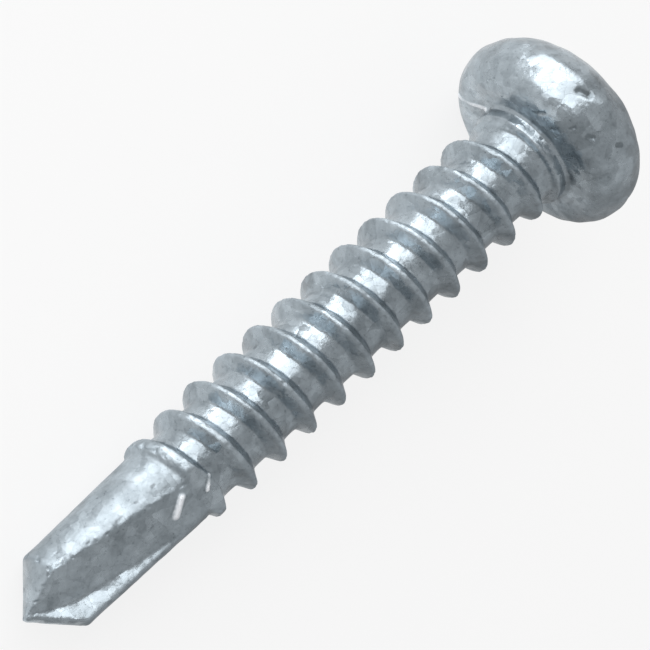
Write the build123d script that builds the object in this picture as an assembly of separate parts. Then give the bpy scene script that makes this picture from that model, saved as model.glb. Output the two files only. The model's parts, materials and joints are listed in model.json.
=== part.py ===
from build123d import *
import math
import os

# Self drilling screw, cold formed from one piece of steel wire, all sizes in millimetres.
# It is shaped along X in its own frame: the bearing face of the head is at x = 0, the head is
# on the +X side and the tip of the drill is at x = -length. It is then laid down on the floor,
# where it touches with the rim of its head and with the crest of its thread.

# shank, from the bearing face to the tip
length = 24.85
root_d = 3.06
neck_length = 1.35
neck_margin = 0.03

# thread, whose crest is lower on the first turns and on the last one
thread_d = 4.1
first_crest_d = 3.6
last_crest_d = 3.5
pitch = 1.46
crest_width = 0.12
flank_angle = 34.0
entry_turns = 0.4
forming_turns = 2.0
fading_turns = 1.0
thread_overlap = 0.9
thread_phase = 195.0

# head
head_d = 7.56
head_height = 3.55
bearing_d = 5.6
rim_height = 1.25

# drill point
drill_length = 6.95
corner_d = 3.08
shoulder_d = 3.3
shoulder_bevel = 0.3
point_height = 1.47
chisel_length = 0.4
chisel_width = 0.1

# flutes of the drill point, each with a cutting face and a floor
web_thickness = 0.72
cutting_face_lean = 7.0
flute_facing = 129.5
flute_heel = 2.15
flute_heel_depth = 0.85
flute_rise = 7.7
flute_nose_r = 5.8
flute_nose_arc = 33.0
flute_length = 7.6
flute_end_rise = 45.0

# cross recess in the head
recess_width = 4.4
recess_floor_width = 2.0
recess_depth = 2.35
wing_thickness = 1.1
wing_floor_thickness = 0.8
recess_core_d = 2.5
recess_core_floor_d = 1.7
recess_tip_height = 0.4

# roll of the screw about its own axis as it lies on the floor
rest_roll = -34.0

# how the tilt it lies at is searched for, over the first turns of the thread
steepest_tilt = 30.0
halvings = 30
touch_turns = 4
touch_steps = 240

# worked out from the sizes above
crest_r = thread_d / 2
first_crest_r = first_crest_d / 2
last_crest_r = last_crest_d / 2
root_r = root_d / 2
head_r = head_d / 2
bearing_r = bearing_d / 2
neck_r = crest_r + neck_margin
neck_middle_r = (root_r + neck_r) / 2
tip_x = -length
shoulder_x = tip_x + drill_length
thread_start_x = shoulder_x - thread_overlap
thread_turns = -thread_start_x / pitch

# the foot of the ridge is sunk into the shank, and its last part of a turn into the head
ridge_sink = 0.35
ridge_start_rise = 0.02
turns_in_head = 0.1
ridge_foot_r = root_r - ridge_sink
ridge_start_r = ridge_foot_r + ridge_start_rise
ridge_end = thread_turns + turns_in_head
points_per_turn = 24
fewest_points = 4

# how far cutting shapes reach past what they cut
clear = 0.3
far = 2 * thread_d


def crest_radius(turn):
    """Radius of the crest, which rises out of the drill point and is highest between the ends."""
    entry = ridge_start_r + (first_crest_r - ridge_start_r) * turn / entry_turns
    forming = first_crest_r + (crest_r - first_crest_r) * turn / forming_turns
    fading = last_crest_r + (crest_r - last_crest_r) * (thread_turns - turn) / fading_turns
    return min(crest_r, entry, forming, fading)


def half_width(radius):
    """Half the width of the ridge at a radius, with flanks that are the same all along."""
    return crest_width / 2 + (crest_r - radius) * math.tan(math.radians(flank_angle))


def helix_point(turn, shift, radius):
    angle = math.radians(thread_phase) + 2 * math.pi * turn
    x = thread_start_x + pitch * turn + shift
    return Vector(x, radius * math.cos(angle), radius * math.sin(angle))


def rail(side, at_crest, start, end):
    """One long edge of a stretch of ridge: side is -1 towards the tip and 1 towards the head."""
    count = max(fewest_points, round((end - start) * points_per_turn))
    points = []
    for i in range(count + 1):
        turn = start + (end - start) * i / count
        radius = crest_radius(turn) if at_crest else ridge_foot_r
        points.append(helix_point(turn, side * half_width(radius), radius))
    return Edge.make_spline(points, parameters=[i / count for i in range(count + 1)])


def stretch_marks():
    """Turns at which the ridge is divided, so that no face runs round more than once."""
    bends = [0, entry_turns, forming_turns, thread_turns - fading_turns, ridge_end]
    marks = [0]
    for start, end in zip(bends, bends[1:]):
        count = math.ceil(end - start)
        marks += [start + (end - start) * i / count for i in range(1, count + 1)]
    return marks


def thread_ridge():
    """Helical ridge with straight flanks and a flat crest."""
    faces = []
    marks = stretch_marks()
    for start, end in zip(marks, marks[1:]):
        corners = [(-1, False), (-1, True), (1, True), (1, False)]
        rails = [rail(side, at_crest, start, end) for side, at_crest in corners]
        for edge, next_edge in zip(rails, rails[1:] + rails[:1]):
            faces.append(Face.make_surface_from_curves(edge, next_edge))
        if start == marks[0]:
            faces.append(Face(Wire.make_polygon([edge @ 0 for edge in rails], close=True)))
        if end == marks[-1]:
            faces.append(Face(Wire.make_polygon([edge @ 1 for edge in rails], close=True)))
    return Solid(Shell(faces))


def across(x):
    """Plane across the axis of the screw at x, seen from the head, with its x axis upwards."""
    return Plane((x, 0, 0), x_dir=(0, 0, 1), z_dir=(1, 0, 0))


def head_blank():
    """Round head: flat bearing face, rounded rim and a domed top."""
    rim_width = head_r - bearing_r
    rim = EllipticalCenterArc((rim_height, bearing_r), rim_height, rim_width, 90, arc_size=90)
    dome = EllipticalCenterArc((rim_height, 0), head_height - rim_height, head_r, 0, arc_size=90)
    base = Polyline((0, bearing_r), (0, 0), (head_height, 0))
    return revolve(make_face([rim, dome, base]), Axis.X)


def shank_blank():
    """Shank that widens under the head till it is wider than the thread, down to the drill."""
    corner_x = tip_x + point_height
    side = Polyline(
        (0, 0),
        (corner_x, 0),
        (corner_x, corner_d / 2),
        (shoulder_x, shoulder_d / 2),
        (shoulder_x + shoulder_bevel, root_r),
        (-neck_length, root_r),
        (neck_middle_r - neck_r, neck_middle_r),
        (0, neck_r),
        close=True,
    )
    return revolve(make_face(side), Axis.X)


def drill_tip():
    """Point that widens from a short chisel edge to the round body of the drill."""
    chisel = across(tip_x) * Rectangle(chisel_length, chisel_width)
    body = across(tip_x + point_height) * Circle(corner_d / 2)
    return loft([chisel, body])


def ahead(start, rise, distance):
    """Point at that distance along X from the start, on a line that rises by so many degrees."""
    return start + Vector(distance, distance * math.tan(math.radians(rise)))


def flute_cutter():
    """What one flute takes out: all that is above its floor and in front of its cutting face."""
    heel = Vector(tip_x + flute_heel, flute_heel_depth)
    end = ahead(heel, flute_rise, flute_length - flute_heel)
    top = ahead(end, flute_end_rise, far)
    nose = JernArc(heel, heel - ahead(heel, flute_rise, 1), flute_nose_r, flute_nose_arc)
    front = nose @ 1
    over = Polyline(heel, end, top, (front.X, top.Y), front)
    above_floor = extrude(make_face([nose, over]), far, both=True)
    above_floor = Rot(flute_facing, 0, 0) * above_floor
    cutting_face = Pos(tip_x, 0, web_thickness / 2) * Rot(-cutting_face_lean, 0, 0)
    in_front = cutting_face * Pos(0, 0, far) * Box(4 * far, 4 * far, 2 * far)
    return above_floor & in_front


def cross_recess():
    """Tapered cross with a round core, which a cross driver fits."""
    floor_x = head_height - recess_depth
    spread = (recess_depth + clear) / recess_depth
    width = recess_floor_width + (recess_width - recess_floor_width) * spread
    thickness = wing_floor_thickness + (wing_thickness - wing_floor_thickness) * spread
    core_r = (recess_core_floor_d + (recess_core_d - recess_core_floor_d) * spread) / 2
    wings = []
    for turn in (0, 90):
        lower = across(floor_x) * Rot(0, 0, turn) * Rectangle(recess_floor_width, wing_floor_thickness)
        upper = across(head_height + clear) * Rot(0, 0, turn) * Rectangle(width, thickness)
        wings.append(loft([lower, upper]))
    core_side = Polyline(
        (floor_x - recess_tip_height, 0),
        (floor_x, recess_core_floor_d / 2),
        (head_height + clear, core_r),
        (head_height + clear, 0),
        close=True,
    )
    core = revolve(make_face(core_side), Axis.X)
    return core + wings[0] + wings[1]


def rim_low_point(tilt):
    """Height of the lowest point of the head's rim over the axis at x = 0."""
    reach = math.hypot(rim_height * math.sin(tilt), (head_r - bearing_r) * math.cos(tilt))
    return rim_height * math.sin(tilt) - bearing_r * math.cos(tilt) - reach


def touching_points(screw):
    """Points of the shank that can touch the floor: crest of the thread and corners of the drill."""
    points = [Vector(corner.X, corner.Y, corner.Z) for corner in screw.vertices()]
    points = [point for point in points if point.X < thread_start_x]
    for i in range(touch_turns * touch_steps):
        turn = i / touch_steps
        radius = crest_radius(turn)
        points.append(helix_point(turn, -half_width(radius), radius))
    return [point.rotate(Axis.X, rest_roll) for point in points]


def rest_tilt(screw):
    """Tilt in radians at which the rim of the head and the shank both touch."""
    points = touching_points(screw)
    low = 0.0
    high = math.radians(steepest_tilt)
    for _ in range(halvings):
        middle = (low + high) / 2
        shank_low = min(point.X * math.sin(middle) + point.Z * math.cos(middle) for point in points)
        if rim_low_point(middle) < shank_low:
            low = middle
        else:
            high = middle
    return (low + high) / 2


def lay_down(screw):
    """Roll and tilt the screw as it lies, and put the middle of its base at the origin."""
    placed = Rot(0, -math.degrees(rest_tilt(screw)), 0) * Rot(rest_roll, 0, 0) * screw
    box = placed.bounding_box()
    middle = box.center()
    return Pos(-middle.X, -middle.Y, -box.min.Z) * placed


def make_screw():
    screw = head_blank() + shank_blank() + drill_tip() + thread_ridge()
    flute = flute_cutter()
    screw -= flute
    screw -= Rot(180, 0, 0) * flute
    screw -= cross_recess()
    return lay_down(screw)


os.makedirs("parts", exist_ok=True)
export_step(make_screw(), "parts/screw.step")
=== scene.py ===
import bpy
import json
import math
import numpy as np
from mathutils import Matrix, Vector, noise


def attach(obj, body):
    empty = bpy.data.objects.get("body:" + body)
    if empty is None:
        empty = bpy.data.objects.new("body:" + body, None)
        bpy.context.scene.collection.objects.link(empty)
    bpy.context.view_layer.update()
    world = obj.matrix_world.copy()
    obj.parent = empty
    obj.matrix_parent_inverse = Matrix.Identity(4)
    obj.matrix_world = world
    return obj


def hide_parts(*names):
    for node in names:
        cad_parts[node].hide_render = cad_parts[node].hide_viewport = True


MM = 0.001

# how the camera sees the screw: turn of its axis in the picture, how far its tip leans nearer, and
# where the middle of the bearing face is
PICTURE_TURN = math.radians(43.04)
NEAR_LEAN = math.radians(21.52)
BEARING_RIGHT = 7.103 * MM
BEARING_DOWN = -6.140 * MM
BEARING_AWAY = 107.38 * MM
SENSOR_WIDTH = 36.0
LENS = 167.37
CLIP_NEAR = 0.005
CLIP_FAR = 10.0

# roll of the screw about its own axis as it lies, as in the part's source
REST_ROLL = math.radians(-34.0)

# finer mesh of the screw, in millimetres
WELD_WITHIN = 0.001
VOXEL = 0.062
SOFTEN_STEPS = 2
SOFTEN_SHARE = 0.5
MOST_TRIANGLES = 190000

# steps that tell edges from flats, then steps that smooth the flats, and how far each one goes
EDGE_STEPS = 4
CALM_STEPS = 24
CALM_SHARE = 0.5

# soft lumps of the surface, in millimetres
LUMP_SIZE = 0.5
LUMP_HEIGHT = 0.014
HEAD_LUMP_SIZE = 0.7
HEAD_LUMP_HEIGHT = 0.045

# wear of edges by how sharp they are, all in millimetres
SHARP_FROM = 0.006
SHARP_FULL = 0.022
CHIP_SIZE = 0.22
CHIP_DEPTH = 0.05
WORN_SIZE = 0.9
WORN_DEPTH = 0.015
WORN_SPREAD = 0.3

# the drill point, whose blunter edges have deeper chips, while its cutting edges stay sharp up to
# a distance from its middle
DRILL_FROM = -17.9
DRILL_SHARP_FROM = 0.002
DRILL_SHARP_FULL = 0.008
DRILL_CHIP_DEPTH = 0.14
CUTTING_EDGE_WITHIN = 0.9

# radius over which the outside of the drill point is dull
LAND_FROM_R = 1.40
LAND_FULL_R = 1.50

# step under the head, where the neck widens
COLLAR_R = 1.98
COLLAR_FROM = -0.56
COLLAR_FULL = -0.46

# marks as start and end, each (along the axis, angle round it in degrees, distance from it),
# then the width of the mark and how far it stands out
MARKS = [
    # pits in the head
    ((1.25, 86, 3.78), (1.42, 91, 3.78), 0.20, -0.08),
    ((0.48, 108, 3.58), (0.58, 110, 3.62), 0.14, -0.06),
    ((1.20, 122, 3.78), (1.38, 124, 3.78), 0.11, -0.05),
    # nicks where the rim begins
    ((0.00, 72, 2.70), (0.06, 80, 3.08), 0.08, -0.06),
    ((0.00, 91, 2.72), (0.34, 99, 3.46), 0.08, -0.07),
    # raised seam on the underside
    ((-0.03, 4, 2.05), (0.16, -19, 3.28), 0.12, 0.06),
    # burrs where the thread was rolled over the flute
    ((-18.97, 131.0, 1.38), (-18.49, 111.9, 1.49), 0.19, 0.14),
    ((-17.60, 128.7, 1.53), (-17.31, 114.1, 1.53), 0.11, 0.10),
]

# patterns in the zinc: size in millimetres, levels of detail, and how rough the detail is
STAIN = (0.9, 5.0, 0.6)
BLOTCH = (0.35, 3.0, 0.6)
GRAIN = (0.09, 3.0, 0.6)
SPECK = (0.15, 2.0, 0.5)
WANDER = (0.25, 2.0, 0.5)
NOISE_LOW = 0.3
NOISE_HIGH = 0.7
NOISE_MIDDLE = (0.5, 0.5, 0.5)

# relief of the zinc: sizes of its crystals, how far their borders wander, how steeply they tilt,
# and the height of the grain
CELL_SIZE = 0.42
PLATE_SIZE = 0.95
WANDER_REACH = 0.14
CELL_TILT = 0.20
PLATE_TILT = 0.12
GRAIN_HEIGHT = 0.003

# tone of the zinc from 0, dark, to 1, pale, and how far each pattern moves it
DARK_ZINC = (0.22, 0.255, 0.28, 1)
PALE_ZINC = (0.53, 0.60, 0.65, 1)
STAIN_DARK = 0.32
STAIN_PALE = 0.68
CELL_TONE = 0.12
PLATE_TONE = 0.13
BLOTCH_TONE = 0.14
GRAIN_TONE = 0.06
SPECK_FROM = 0.62
SPECK_FULL = 0.72
SPECK_TONE = -0.3
# creases painted darker as shade, sharp edges a little paler where rubbed
PAINTED_CREASE_SHADE = -0.10
EDGE_TONE = 0.05
EDGE_SPREAD = 0.02
# raised marks paler as a painted highlight, pits and nicks darker
MARK_TONE = 1.5

# gloss of the zinc, duller on worn edges and on the outside of the drill point
DARK_ROUGH = 0.37
PALE_ROUGH = 0.26
GRAIN_ROUGH = 0.05
EDGE_ROUGH = 0.20
EDGE_ROUGH_FROM = 0.004
LAND_ROUGH = 0.18
ZINC_METAL = 0.93

# painted highlight: a near-white, duller and less metallic colour on what stands out as a mark, such as the
# burrs and the seam, in place of their glints
PAINTED_GLINT_ZINC = (0.93, 0.96, 1.0, 1)
PAINTED_GLINT_FROM = 0.1
PAINTED_GLINT_FULL = 0.6
PAINTED_GLINT_ROUGH = 0.15
PAINTED_GLINT_METAL = 0.3

WHITE = (1, 1, 1, 1)

# lights in metres and watts, each direction from the screw towards the lamp
LAMP_DISTANCE = 0.16
LAMP_LENGTH = 0.30
KEY_DIRECTION = (0.2, 0.88, 0.46)
KEY_WIDTH = 0.156
KEY_WATTS = 0.30
LOW_DIRECTION = (0.2, 1.0, 0.10)
LOW_WIDTH = 0.03
LOW_WATTS = 0.09
FILL_DIRECTION = (0.0, -0.75, 0.70)
FILL_WIDTH = 0.10
FILL_WATTS = 0.012

# studio round the screw, by the height of the direction that is looked in
SKY_LOW = 0.50
SKY_HIGH = 0.47
SKY_LOW_UNTIL = 0.10
SKY_HIGH_FROM = 0.40

# floor, half its side in metres
FLOOR_HALF = 1.5
FLOOR_COLOUR = (0.86, 0.86, 0.86, 1)
FLOOR_SEEN_WHITE = 0.80

# what the metal mirrors of the floor: a glow that is pale on the lamp's side of the screw and darker on the
# other, where the darker level is painted shade
MIRRORED_PALE = 0.98
MIRRORED_SHADED = 0.38
SHADED_AT = -7.0 * MM
PALE_AT = -1.0 * MM

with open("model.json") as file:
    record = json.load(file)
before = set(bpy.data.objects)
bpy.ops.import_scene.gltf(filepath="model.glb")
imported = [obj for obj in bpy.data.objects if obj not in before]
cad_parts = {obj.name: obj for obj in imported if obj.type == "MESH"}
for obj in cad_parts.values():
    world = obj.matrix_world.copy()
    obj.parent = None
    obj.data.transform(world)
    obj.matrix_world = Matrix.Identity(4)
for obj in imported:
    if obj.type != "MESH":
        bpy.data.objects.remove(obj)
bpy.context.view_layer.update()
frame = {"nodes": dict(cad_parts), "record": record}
mounts = {mount["name"]: mount for mount in frame["record"]["mounts"]}


def screw_frame():
    """Matrix of the screw's own frame: the middle of the bearing face, with X from tip to head."""
    mount = mounts["bearing_face"]
    axis = -Vector(mount["axis"]).normalized()
    side = Vector((0, 1, 0))
    up = axis.cross(side).normalized()
    side = up.cross(axis)
    basis = Matrix((axis, side, up)).transposed().to_4x4()
    return Matrix.Translation(Vector(mount["pos_m"])) @ basis @ Matrix.Rotation(REST_ROLL, 4, "X")


def add_object(name, data):
    made = bpy.data.objects.new(name, data)
    bpy.context.scene.collection.objects.link(made)
    return made


def add_camera(screw):
    """Camera that sees the screw as the photograph does."""
    lean, turn = NEAR_LEAN, PICTURE_TURN
    axis = Vector((math.cos(lean) * math.cos(turn), -math.cos(lean) * math.sin(turn), math.sin(lean)))
    low_side = Vector((math.sin(turn), math.cos(turn), 0))
    far_side = axis.cross(low_side)
    # the screw's own axes as seen from the camera, whose axes are right, down and away
    seen = Matrix((axis, -low_side, -far_side)).transposed()
    place = Matrix.Translation((BEARING_RIGHT, BEARING_DOWN, BEARING_AWAY)) @ seen.to_4x4()
    flip = Matrix.Diagonal((1, -1, -1, 1))
    data = bpy.data.cameras.new("camera")
    data.sensor_width = SENSOR_WIDTH
    data.lens = LENS
    data.clip_start = CLIP_NEAR
    data.clip_end = CLIP_FAR
    camera = add_object("camera", data)
    camera.matrix_world = screw @ place.inverted() @ flip
    bpy.context.scene.camera = camera


def apply_modifiers(piece):
    """Make the shape that the piece's modifiers give its own mesh."""
    shown = bpy.context.evaluated_depsgraph_get()
    mesh = bpy.data.meshes.new_from_object(piece.evaluated_get(shown))
    piece.modifiers.clear()
    piece.data = mesh


def even_mesh(node, screw):
    """Copy of the node in its own frame and in millimetres, with small even faces."""
    mesh = node.data.copy()
    mesh.transform(Matrix.Scale(1 / MM, 4) @ screw.inverted())
    piece = add_object("screw_surface", mesh)
    weld = piece.modifiers.new("weld", "WELD")
    weld.merge_threshold = WELD_WITHIN
    remesh = piece.modifiers.new("remesh", "REMESH")
    remesh.mode = "VOXEL"
    remesh.voxel_size = VOXEL
    remesh.use_smooth_shade = True
    soften = piece.modifiers.new("soften", "SMOOTH")
    soften.factor = SOFTEN_SHARE
    soften.iterations = SOFTEN_STEPS
    apply_modifiers(piece)
    return piece


def share_between(value, start, full):
    """0 up to the start, 1 from full onwards, and evenly rising between."""
    return min(1, max(0, (value - start) / (full - start)))


def on_screw(along, angle, radius):
    """Point in the screw's own frame, in millimetres."""
    turn = math.radians(angle)
    return Vector((along, radius * math.cos(turn), radius * math.sin(turn)))


def mark_height(place, marks):
    """How far the marks move a point out, in millimetres, and a share that is positive on raised marks,
    which get a painted highlight, and negative in pits and nicks, which are made darker.
    """
    out = 0.0
    painted_glint_and_pit_tone = 0.0
    for start, end, width, height in marks:
        along = end - start
        share = (place - start).dot(along) / along.length_squared
        gap = (place - start - along * min(max(share, 0), 1)).length / width
        if gap < 1:
            out += height * (1 - gap)
            painted_glint_and_pit_tone += math.copysign(1 - gap, height)
    return out, painted_glint_and_pit_tone


def lump_height(place):
    """How far soft lumps of the surface stand out, in millimetres."""
    if place.x > 0:
        return HEAD_LUMP_HEIGHT * noise.noise(place / HEAD_LUMP_SIZE)
    return LUMP_HEIGHT * noise.noise(place / LUMP_SIZE)


def is_cutting_edge(place):
    """Whether a point is near the edge of one of the drill's cutting faces."""
    return place.x < DRILL_FROM and abs(place.z) < CUTTING_EDGE_WITHIN and place.y * place.z < 0


def wear_depth(place, edge):
    """How far chips and rubbing take off an edge, in millimetres."""
    sharp = share_between(edge, SHARP_FROM, SHARP_FULL)
    worn = max(0, noise.noise(place / WORN_SIZE) + WORN_SPREAD)
    chip = CHIP_DEPTH * sharp
    if place.x < DRILL_FROM:
        chip = DRILL_CHIP_DEPTH * share_between(edge, DRILL_SHARP_FROM, DRILL_SHARP_FULL)
    return chip * max(0, noise.noise(place / CHIP_SIZE)) + sharp * WORN_DEPTH * worn


def land_share(place):
    """1 on the outside of the drill point, which the forming dies left dull, and 0 elsewhere."""
    if place.x > DRILL_FROM:
        return 0.0
    return share_between(math.hypot(place.y, place.z), LAND_FROM_R, LAND_FULL_R)


def collar_lift(place):
    """Move of a point straight out from the axis, which makes a step of the widening neck."""
    side = Vector((0, place.y, place.z))
    if place.x > 0 or side.length > COLLAR_R:
        return Vector()
    share = share_between(place.x, COLLAR_FROM, COLLAR_FULL)
    return side.normalized() * share * (COLLAR_R - side.length)


def read_mesh(mesh):
    """Places and normals of the points, and which points are joined by edges."""
    count = len(mesh.vertices)
    places = np.empty(count * 3)
    mesh.vertices.foreach_get("co", places)
    normals = np.empty(count * 3)
    mesh.vertices.foreach_get("normal", normals)
    links = np.empty(len(mesh.edges) * 2, dtype=np.int64)
    mesh.edges.foreach_get("vertices", links)
    return places.reshape(count, 3), normals.reshape(count, 3), links.reshape(-1, 2)


def middle_of_neighbours(places, links):
    """For each point, the middle of the points it is joined to."""
    first, second = links.T
    count = len(places)
    total = np.empty_like(places)
    for axis in range(3):
        value = places[:, axis]
        total[:, axis] = np.bincount(first, value[second], count) + np.bincount(second, value[first], count)
    return total / np.bincount(links.ravel(), minlength=count)[:, None]


def store_values(mesh, name, values):
    """Keep one value for each point, which the material reads."""
    stored = mesh.attributes.new(name, "FLOAT", "POINT")
    stored.data.foreach_set("value", np.array(values, dtype=np.float32))


def calm_mesh(mesh):
    """Round off the flats of the CAD mesh, keep its edges, and return how sharp each point is."""
    places, normals, links = read_mesh(mesh)
    smooth = places
    for _ in range(EDGE_STEPS):
        smooth = middle_of_neighbours(smooth, links)
    edges = np.einsum("ij,ij->i", places - smooth, normals)
    calm = CALM_SHARE * np.clip(1 - np.abs(edges) / SHARP_FROM, 0, 1)[:, None]
    for _ in range(CALM_STEPS):
        places = places + calm * (middle_of_neighbours(places, links) - places)
    mesh.vertices.foreach_set("co", places.ravel())
    mesh.update()
    return edges


def roughen(mesh, edges):
    """Marks, lumps and worn edges that forming, plating and handling leave on the surface."""
    marks = [(on_screw(*start), on_screw(*end), width, height) for start, end, width, height in MARKS]
    moved = []
    painted_glint_and_pit_tone = []
    land = []
    worn = []
    for vertex, edge in zip(mesh.vertices, edges):
        place = vertex.co
        if is_cutting_edge(place):
            edge = 0.0
        mark, share = mark_height(place, marks)
        height = lump_height(place) + mark - wear_depth(place, edge)
        moved.append(place + vertex.normal * height + collar_lift(place))
        worn.append(edge)
        painted_glint_and_pit_tone.append(share)
        land.append(land_share(place))
    for vertex, place in zip(mesh.vertices, moved):
        vertex.co = place
    mesh.update()
    # the edge values also paint shade into creases, and the mark values paint a highlight on raised marks
    # and darken pits
    store_values(mesh, "edge", worn)
    store_values(mesh, "mark", painted_glint_and_pit_tone)
    store_values(mesh, "land", land)


def thin_out(piece):
    """Join faces till no more than the wanted number of triangles is left."""
    triangles = sum(len(face.vertices) - 2 for face in piece.data.polygons)
    thin = piece.modifiers.new("thin", "DECIMATE")
    thin.ratio = min(1, MOST_TRIANGLES / triangles)
    apply_modifiers(piece)


def make_screw(screw):
    piece = even_mesh(frame["nodes"]["screw"], screw)
    roughen(piece.data, calm_mesh(piece.data))
    thin_out(piece)
    piece.data.transform(screw @ Matrix.Scale(MM, 4))
    piece.data.materials.clear()
    piece.data.materials.append(zinc_material())
    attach(piece, "root")
    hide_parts("screw")


class Graph:
    """Short way to add shader nodes to a material and join them."""

    def __init__(self, tree):
        self.tree = tree

    def node(self, kind, inputs=None, **settings):
        made = self.tree.nodes.new("ShaderNode" + kind)
        for name, value in settings.items():
            setattr(made, name, value)
        for name, value in (inputs or {}).items():
            if isinstance(value, bpy.types.NodeSocket):
                self.tree.links.new(value, made.inputs[name])
            else:
                made.inputs[name].default_value = value
        return made

    def maths(self, operation, first, second):
        made = self.node("Math", {0: first, 1: second}, operation=operation)
        return made.outputs[0]

    def vector(self, operation, first, second):
        made = self.node("VectorMath", {0: first, 1: second}, operation=operation)
        return made.outputs["Value" if operation == "DOT_PRODUCT" else "Vector"]

    def total(self, *values):
        """Sum of values."""
        result = values[0]
        for value in values[1:]:
            result = self.maths("ADD", result, value)
        return result

    def spread(self, value, low, high, to_low, to_high):
        """Value between two limits, moved and stretched to lie between two others."""
        names = ("Value", "From Min", "From Max", "To Min", "To Max")
        made = self.node("MapRange", dict(zip(names, (value, low, high, to_low, to_high))))
        return made.outputs["Result"]

    def mix(self, share, first, second):
        """Colour between two colours."""
        made = self.node("Mix", data_type="RGBA")
        colours = [socket for socket in made.inputs if socket.type == "RGBA"]
        self.tree.links.new(share, made.inputs["Factor"])
        self.tree.links.new(first, colours[0])
        colours[1].default_value = second
        return next(socket for socket in made.outputs if socket.type == "RGBA")

    def noise(self, coords, size, detail, rough, output="Fac"):
        """Pattern of soft spots, its size in millimetres."""
        inputs = {"Vector": coords, "Scale": 1 / (size * MM), "Detail": detail, "Roughness": rough}
        return self.node("TexNoise", inputs).outputs[output]

    def stored(self, name):
        """Value that the mesh holds for each point."""
        return self.node("Attribute", attribute_name=name).outputs["Fac"]


class Crystals:
    """Pattern of crystals, each with a tone and a tilt of its own."""

    def __init__(self, graph, coords, size):
        inputs = {"Vector": coords, "Scale": 1 / (size * MM)}
        self.graph = graph
        self.coords = coords
        self.cells = graph.node("TexVoronoi", inputs, feature="F1")

    def tone(self, reach):
        """Value from -reach to reach, even over each crystal."""
        parts = self.graph.node("SeparateColor", {"Color": self.cells.outputs["Color"]})
        return self.graph.spread(parts.outputs["Red"], 0.0, 1.0, -reach, reach)

    def lift(self, tilt):
        """Height that tilts each crystal its own way."""
        aim = self.graph.vector("SUBTRACT", self.cells.outputs["Color"], NOISE_MIDDLE)
        reach = self.graph.vector("SUBTRACT", self.coords, self.cells.outputs["Position"])
        return self.graph.maths("MULTIPLY", self.graph.vector("DOT_PRODUCT", aim, reach), tilt)


def wandering(graph, coords):
    """Coordinates that wander a little, so that borders between crystals aren't straight."""
    drift = graph.noise(coords, *WANDER, output="Color")
    drift = graph.vector("SUBTRACT", drift, NOISE_MIDDLE)
    drift = graph.node("VectorMath", {0: drift, "Scale": WANDER_REACH * MM}, operation="SCALE")
    return graph.vector("ADD", coords, drift.outputs[0])


def zinc_material():
    """Zinc plated steel: small crystals that each tilt a little, stains and fine grain, with painted shade
    in creases and a painted highlight on raised marks.
    """
    material = bpy.data.materials.new("zinc_plated_steel")
    material.use_nodes = True
    graph = Graph(material.node_tree)
    shader = material.node_tree.nodes["Principled BSDF"]

    coords = graph.node("TexCoord").outputs["Object"]
    warped = wandering(graph, coords)
    cells = Crystals(graph, warped, CELL_SIZE)
    plates = Crystals(graph, warped, PLATE_SIZE)
    stain = graph.noise(coords, *STAIN)
    blotch = graph.noise(coords, *BLOTCH)
    grain = graph.noise(coords, *GRAIN)
    speck = graph.noise(coords, *SPECK)
    edge = graph.stored("edge")
    mark = graph.stored("mark")
    # painted highlight on raised marks, such as the burrs and the seam
    painted_glint = graph.spread(mark, PAINTED_GLINT_FROM, PAINTED_GLINT_FULL, 0.0, 1.0)

    tone = graph.total(
        graph.spread(stain, NOISE_LOW, NOISE_HIGH, STAIN_DARK, STAIN_PALE),
        cells.tone(CELL_TONE),
        plates.tone(PLATE_TONE),
        graph.spread(blotch, NOISE_LOW, NOISE_HIGH, -BLOTCH_TONE, BLOTCH_TONE),
        graph.spread(grain, NOISE_LOW, NOISE_HIGH, -GRAIN_TONE, GRAIN_TONE),
        graph.spread(speck, SPECK_FROM, SPECK_FULL, 0.0, SPECK_TONE),
        # painted shade in creases, and paler rubbed edges
        graph.spread(edge, -EDGE_SPREAD, EDGE_SPREAD, PAINTED_CREASE_SHADE, EDGE_TONE),
        # raised marks paler as a painted highlight, pits and nicks darker
        graph.maths("MULTIPLY", mark, MARK_TONE),
    )
    rough = graph.total(
        graph.spread(stain, NOISE_LOW, NOISE_HIGH, DARK_ROUGH, PALE_ROUGH),
        graph.spread(grain, NOISE_LOW, NOISE_HIGH, -GRAIN_ROUGH, GRAIN_ROUGH),
        graph.spread(edge, EDGE_ROUGH_FROM, EDGE_SPREAD, 0.0, EDGE_ROUGH),
        graph.maths("MULTIPLY", graph.stored("land"), LAND_ROUGH),
        graph.maths("MULTIPLY", painted_glint, PAINTED_GLINT_ROUGH),
    )
    lift = graph.total(
        graph.maths("MULTIPLY", grain, GRAIN_HEIGHT * MM),
        cells.lift(CELL_TILT),
        plates.lift(PLATE_TILT),
    )

    ramp = graph.node("ValToRGB", {"Fac": tone})
    ramp.color_ramp.elements[0].color = DARK_ZINC
    ramp.color_ramp.elements[1].color = PALE_ZINC
    bump = graph.node("Bump", {"Height": lift, "Strength": 1.0, "Distance": 1.0})
    for name, value in (
        ("Base Color", graph.mix(painted_glint, ramp.outputs["Color"], PAINTED_GLINT_ZINC)),
        ("Roughness", rough),
        ("Metallic", graph.spread(painted_glint, 0.0, 1.0, ZINC_METAL, PAINTED_GLINT_METAL)),
        ("Normal", bump.outputs["Normal"]),
    ):
        graph.tree.links.new(value, shader.inputs[name])
    return material


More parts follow.
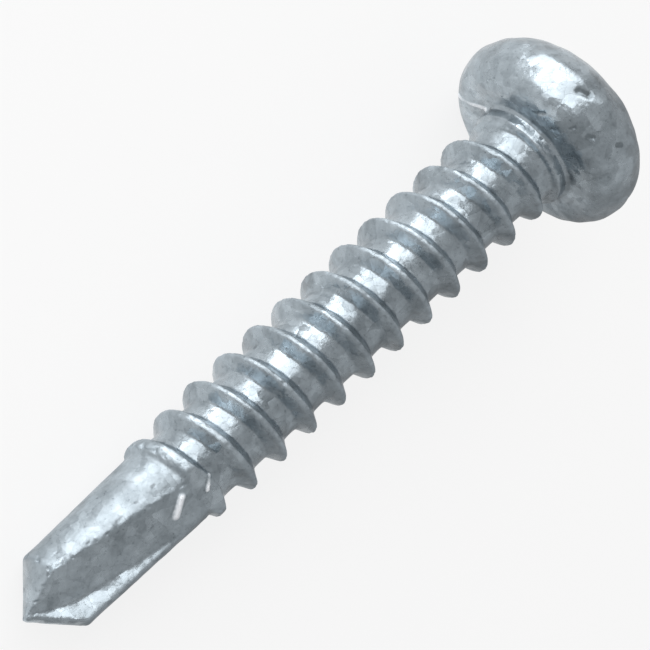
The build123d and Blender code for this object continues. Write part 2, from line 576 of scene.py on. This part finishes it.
def floor_material():
    """Pale floor that looks nearly white, keeps the shadow, and is mirrored by the metal with painted shade
    on the side away from the lamps.
    """
    material = bpy.data.materials.new("pale_floor")
    material.use_nodes = True
    tree = material.node_tree
    graph = Graph(tree)
    tree.nodes.remove(tree.nodes["Principled BSDF"])
    output = tree.nodes["Material Output"]
    path = graph.node("LightPath")
    seen = path.outputs["Is Camera Ray"]
    mirrored = graph.maths("MAXIMUM", path.outputs["Is Glossy Ray"], path.outputs["Is Transmission Ray"])
    side = graph.node("SeparateXYZ", {0: graph.node("TexCoord").outputs["Object"]}).outputs["Y"]
    # painted shade: what the metal mirrors of the floor grows darker away from the lamps
    level = graph.spread(side, SHADED_AT, PALE_AT, MIRRORED_SHADED, MIRRORED_PALE)
    strength = graph.total(seen, graph.maths("MULTIPLY", mirrored, level))
    share = graph.total(graph.maths("MULTIPLY", seen, FLOOR_SEEN_WHITE), mirrored)
    diffuse = graph.node("BsdfDiffuse", {"Color": FLOOR_COLOUR})
    glow = graph.node("Emission", {"Color": WHITE, "Strength": strength})
    mix = graph.node("MixShader", {"Fac": share, 1: diffuse.outputs[0], 2: glow.outputs[0]})
    tree.links.new(mix.outputs[0], output.inputs["Surface"])
    return material


def add_floor():
    mesh = bpy.data.meshes.new("floor")
    half = FLOOR_HALF
    corners = [(-half, -half, 0), (half, -half, 0), (half, half, 0), (-half, half, 0)]
    mesh.from_pydata(corners, [], [(0, 1, 2, 3)])
    mesh.materials.append(floor_material())
    add_object("floor", mesh)


def add_softbox(name, direction, width, watts):
    """Oblong lamp that faces the origin, its length along the screw."""
    data = bpy.data.lights.new(name, "AREA")
    data.shape = "RECTANGLE"
    data.size = LAMP_LENGTH
    data.size_y = width
    data.energy = watts
    lamp = add_object(name, data)
    away = Vector(direction).normalized()
    across = away.cross(Vector((1, 0, 0))).normalized()
    along = across.cross(away)
    basis = Matrix((along, across, away)).transposed().to_4x4()
    lamp.matrix_world = Matrix.Translation(away * LAMP_DISTANCE) @ basis


def set_world():
    """Studio round the screw: paler near the floor than overhead."""
    world = bpy.data.worlds.new("studio")
    bpy.context.scene.world = world
    world.use_nodes = True
    graph = Graph(world.node_tree)
    background = world.node_tree.nodes["Background"]
    coords = graph.node("TexCoord").outputs["Generated"]
    height = graph.node("SeparateXYZ", {0: coords}).outputs["Z"]
    level = graph.spread(height, SKY_LOW_UNTIL, SKY_HIGH_FROM, SKY_LOW, SKY_HIGH)
    world.node_tree.links.new(level, background.inputs["Strength"])
    background.inputs["Color"].default_value = WHITE


screw = screw_frame()
add_camera(screw)
make_screw(screw)
add_floor()
add_softbox("key", KEY_DIRECTION, KEY_WIDTH, KEY_WATTS)
add_softbox("low", LOW_DIRECTION, LOW_WIDTH, LOW_WATTS)
add_softbox("fill", FILL_DIRECTION, FILL_WIDTH, FILL_WATTS)
set_world()
bpy.context.scene.view_settings.view_transform = "Standard"
